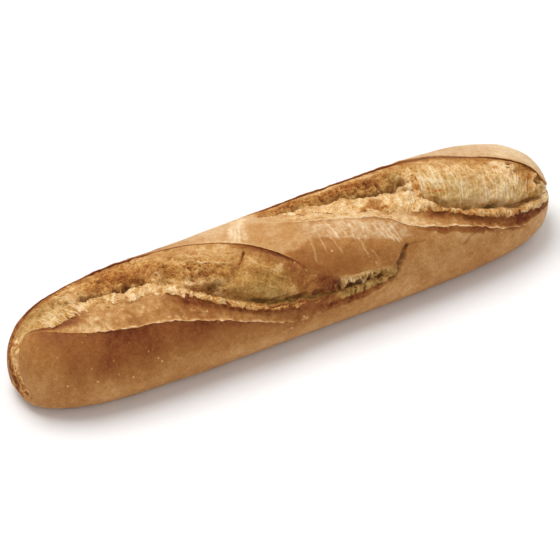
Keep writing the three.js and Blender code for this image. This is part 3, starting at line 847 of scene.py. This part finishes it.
# paler (below 0) and browner (above 0) spots on the crumb: station, turn, half sizes, change of level
LEFT_SPOTS = [
    ((-15.8, 34.5, 2.6, 4), -0.34), ((-41, 30, 5, 7), 0.12), ((-54, 14, 5, 6), 0.08),
    ((-61, 5, 5, 6), 0.12), ((-69, 1, 3.5, 6), -0.12), ((-95, -18, 6, 6), 0.12)
]
RIGHT_SPOTS = [
    ((43, 10, 4.5, 4.5), 0.34), ((45, 16, 5, 2), 0.3), ((54, -19, 6, 5), 0.1),
    ((64, -5, 4, 5), 0.25), ((75, 21, 4, 4), 0.15), ((120, 13, 9, 9), -0.22),
    ((126, 24, 7, 14), 0.1), ((134, 42, 2.6, 4.4), 0.4)
]


def left_textures(x, across):
    """How fluffy, skin-like and strand-drawn the left slash's crumb is at each place."""
    crest = fade(across, 1.05, 1.25)
    olive = fade(x, -50, -36) * (1 - crest)
    past_caves = fade(x, -72, -60)
    top = fade(across, 0.34, 0.2) * past_caves
    hidden = fade(x, 5, 9) * (1 - crest)
    tip = fade(x, -100, -115)
    wall = fade(across, 0.12, 0.25) * fade(across, 0.9, 0.75)
    wall = wall * fade(x, -118, -108) * fade(x, -58, -66)
    smooth = np.maximum.reduce([0.88 * olive, 0.85 * top, hidden, 0.2 * tip, 0.62 * crest, 0.45 * wall])
    return {
        "fluff": 1 - smooth,
        "skin": np.maximum(top, fade(across, 0.2, 0.1) * past_caves),
        "strands": 0.3 * olive * fade(across, 0.05, 0.2) + hidden + 0.3 * crest + 0.5 * tip,
        "ribs": crest,
        # rim: how much painted shadow falls on the crumb just below the rear rim
        "rim": 0.24 * fade(x, -36, -26) * fade(x, 0, -10),
        "gaps": hidden * fade(across, 0.2, 0.5),
        "lean": between(between(0.5, 0.2, fade(x, -10, 6)), -0.3, tip),
        "down": between(across, 0.65, np.maximum(crest, tip))
    }


def right_textures(x, across):
    """The same for the right slash."""
    crest = fade(across, 1.05, 1.25)
    before_dome = fade(x, 66, 56)
    dome = fade(x, 66, 74) * fade(x, 134, 128) * (1 - crest)
    top = fade(across, 0.32, 0.16)
    return {
        "fluff": 1 - np.maximum.reduce([0.85 * dome, 0.7 * top, (0.6 + 0.3 * before_dome) * crest]),
        "skin": np.maximum(0.4 * dome, top),
        "strands": dome + 0.3 * crest,
        "ribs": crest * (1 - 0.7 * before_dome),
        # rim: how much painted shadow falls on the crumb just below the rear rim
        "rim": 0.18 * fade(x, 45, 60),
        "gaps": 0.0,
        "lean": between(0.25, 0.55, fade(x, 105, 122)),
        "down": between(across * 1.3 - 0.1, 0.65, crest)
    }


# ---- The material ----

def linear(*shade):
    """A colour given in display values from 0 to 255, as the shader takes it."""
    def channel(v):
        return v / 12.92 if v <= 0.04045 else ((v + 0.055) / 1.055) ** 2.4

    return (*[channel(v / 255) for v in shade], 1.0)


# evenly spaced colours, from a level of 0 to a level of 1
CRUST_RAMP = [(238, 208, 164), (214, 173, 125), (189, 137, 80), (162, 106, 53), (140, 80, 37), (100, 42, 16)]
CRUMB_RAMP = [(250, 225, 182), (230, 188, 130), (201, 146, 80), (166, 100, 44), (112, 60, 24)]
RAW_RAMP = [(224, 197, 152), (203, 167, 110), (173, 132, 67), (140, 100, 50), (92, 62, 26)]
FLOUR, SHADOW = linear(250, 230, 196), linear(102, 60, 28)


class Nodes:
    """A small helper that makes and links shader nodes."""

    def __init__(self, material):
        material.use_nodes = True
        self.tree = material.node_tree
        self.shader = self.tree.nodes["Principled BSDF"]

    def feed(self, node, inputs):
        """Links each input to an output, or gives it a fixed value."""
        for name, value in inputs.items():
            if hasattr(value, "is_output"):
                self.tree.links.new(value, node.inputs[name])
            else:
                node.inputs[name].default_value = value

    def make(self, kind, inputs, output, **settings):
        node = self.tree.nodes.new(kind)
        for key, value in settings.items():
            setattr(node, key, value)
        self.feed(node, inputs)
        return node.outputs[output]

    def attribute(self, name):
        return self.make("ShaderNodeAttribute", {}, "Fac", attribute_name=name, attribute_type="GEOMETRY")

    def join(self, operation, total, *others):
        for other in others:
            total = self.make("ShaderNodeMath", {0: total, 1: other}, 0, operation=operation)
        return total

    def add(self, *parts):
        return self.join("ADD", *parts)

    def multiply(self, *parts):
        return self.join("MULTIPLY", *parts)

    def mix(self, share, a, b):
        return self.make("ShaderNodeMix", {"Factor": share, "A": a, "B": b}, "Result", data_type="RGBA")

    def noise(self, place, scale, detail=3.0, roughness=0.55, output="Fac"):
        inputs = {"Vector": place, "Scale": scale, "Detail": detail, "Roughness": roughness}
        return self.make("ShaderNodeTexNoise", inputs, output)

    def cells(self, place, scale):
        return self.make("ShaderNodeTexVoronoi", {"Vector": place, "Scale": scale}, "Distance", feature="F1")

    def range(self, value, low, high, to_low=0.0, to_high=1.0):
        inputs = {"Value": value, "From Min": low, "From Max": high, "To Min": to_low, "To Max": to_high}
        return self.make("ShaderNodeMapRange", inputs, "Result", clamp=True)

    def ramp(self, value, shades):
        colour = self.make("ShaderNodeValToRGB", {"Fac": value}, "Color")
        elements = colour.node.color_ramp.elements
        while len(elements) < len(shades):
            elements.new(0.5)
        for k, shade in enumerate(shades):
            elements[k].position = k / (len(shades) - 1)
            elements[k].color = linear(*shade)
        return colour


def bread_material():
    """Crust, flour and crumb in one, from what the mesh says of each place."""
    material = bpy.data.materials.new("bread")
    n = Nodes(material)
    place = n.make("ShaderNodeTexCoord", {}, "Object")
    crumb, bake, raw, flour, dark = (n.attribute(k) for k in ("crumb", "bake", "raw", "flour", "dark"))
    cloud = n.noise(place, 70, 4)
    grain = n.noise(place, 420, 3, 0.6)
    fine = n.noise(place, 1100, 2, 0.6)

    crust_level = n.add(
        bake, n.range(cloud, 0.25, 0.75, -0.09, 0.09), n.range(grain, 0.3, 0.7, -0.06, 0.06),
        n.range(fine, 0.3, 0.7, -0.06, 0.06))
    fleck = n.range(n.cells(place, 270), 0.08, 0.2, 1.0, 0.0)
    flecked = n.multiply(n.range(n.noise(place, 150, 2), 0.5, 0.62), n.range(bake, 0.4, 0.56, 0.06, 0.42))
    crust = n.ramp(n.join("SUBTRACT", crust_level, n.multiply(fleck, flecked)), CRUST_RAMP)
    dusted = n.multiply(flour, n.range(n.noise(place, 500, 3, 0.65), 0.35, 0.6), 0.8)
    crust = n.mix(dusted, crust, FLOUR)

    tiny = n.cells(n.mix(0.0012, place, n.noise(place, 700, 2.0, 0.5, "Color")), 1150)
    sandy = n.add(n.range(fine, 0.3, 0.7, -0.12, 0.12), n.range(tiny, 0.1, 0.7, 0.12, -0.12))
    sandy = n.multiply(sandy, n.range(raw, 0.0, 0.8, 1.0, 0.35))
    crumb_level = n.add(bake, n.range(grain, 0.3, 0.7, -0.1, 0.1), sandy)
    torn = n.mix(raw, n.ramp(crumb_level, CRUMB_RAMP), n.ramp(crumb_level, RAW_RAMP))

    pores = n.multiply(n.add(grain, fine), n.range(crumb, 0.0, 1.0, 0.16, 1.2))
    pores = n.add(pores, n.multiply(tiny, crumb, 1.3))
    relief = n.make("ShaderNodeBump", {"Strength": 0.42, "Distance": 0.0006, "Height": pores}, "Normal")
    # the crust and crumb colour is mixed toward the SHADOW colour as painted shade, where the mesh asks for
    # it
    n.feed(n.shader, {
        "Base Color": n.mix(dark, n.mix(crumb, crust, torn), SHADOW), "Specular IOR Level": 0.12,
        "Roughness": n.range(crumb, 0.0, 1.0, 0.55, 0.85), "Normal": relief})
    return material


# ---- Making the pieces ----

bread = bread_material()
skin_y = skin(np.linspace(-HALF, HALF, 401)[:, None], np.linspace(-180, 180, 361))[..., 1]
box_middle = sum(corner.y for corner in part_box("baguette")) / 2 / MM
shift = box_middle - (skin_y.min() + skin_y.max()) / 2

pieces = [
    make_crust(shift),
    make_crumb("left_crumb", LEFT_SLASH, LEFT_CRUMB, (-141.0, 42.0), 1, shift,
        LEFT_CAVES, LEFT_FOLDS, LEFT_SPOTS, left_textures),
    make_crumb("right_crumb", RIGHT_SLASH, RIGHT_CRUMB, (-13.0, 142.5), 2, shift,
        RIGHT_CAVES, RIGHT_FOLDS, RIGHT_SPOTS, right_textures),
]
for piece in pieces:
    piece.data.materials.append(bread)
    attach(piece, "root")
    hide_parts("baguette")


# ---- Studio ----

CAMERA_AZIMUTH = -29.67
CAMERA_HEIGHT = 40.0
CAMERA_DISTANCE = 1.481
CAMERA_LENS = 200.0
AIM = Vector((-0.0066, -0.0046, 0.020))
LOAF_BASE = Vector()
# azimuth and height in degrees, distance and size in metres, power in watts
LIGHTS = {
    "key": (-150, 70, 1.6, 1.3, 20.5), "fill": (-20, 38, 2.2, 1.6, 8.5), "side": (100, 38, 2.0, 1.4, 4.5)
}
SKY_STRENGTH = 0.39
FLOOR_HALF = 3.0


def stand(name, data, target, azimuth, height, distance):
    """Stands a camera or a lamp at a distance from the target and turns it to it."""
    a, e = math.radians(azimuth), math.radians(height)
    direction = Vector((math.sin(a) * math.cos(e), -math.cos(a) * math.cos(e), math.sin(e)))
    thing = bpy.data.objects.new(name, data)
    thing.location = target + direction * distance
    thing.rotation_euler = (-direction).to_track_quat("-Z", "Y").to_euler()
    scene.collection.objects.link(thing)
    return thing


def make_camera():
    lens = bpy.data.cameras.new("camera")
    lens.lens = CAMERA_LENS
    lens.sensor_width = 36.0
    lens.clip_end = 20.0
    scene.camera = stand("camera", lens, AIM, CAMERA_AZIMUTH, CAMERA_HEIGHT, CAMERA_DISTANCE)


def make_light(name, azimuth, height, distance, size, watts):
    lamp = bpy.data.lights.new(name, "AREA")
    lamp.shape = "DISK"
    lamp.size = size
    lamp.energy = watts
    stand(name, lamp, LOAF_BASE, azimuth, height, distance)


def make_floor():
    corners = [(x * FLOOR_HALF, y * FLOOR_HALF, 0) for x, y in ((-1, -1), (1, -1), (1, 1), (-1, 1))]
    mesh = bpy.data.meshes.new("floor")
    mesh.from_pydata(corners, [], [(0, 1, 2, 3)])
    floor = bpy.data.objects.new("floor", mesh)
    scene.collection.objects.link(floor)
    paper = bpy.data.materials.new("floor")
    n = Nodes(paper)
    n.feed(n.shader, {"Base Color": (0.93, 0.93, 0.93, 1), "Roughness": 0.9})
    mesh.materials.append(paper)


def make_sky():
    world = bpy.data.worlds.new("studio")
    scene.world = world
    world.use_nodes = True
    sky = world.node_tree.nodes["Background"]
    sky.inputs["Color"].default_value = (1, 1, 1, 1)
    sky.inputs["Strength"].default_value = SKY_STRENGTH


make_camera()
make_floor()
for light_name, light_facts in LIGHTS.items():
    make_light(light_name, *light_facts)
make_sky()
scene.view_settings.view_transform = "Standard"
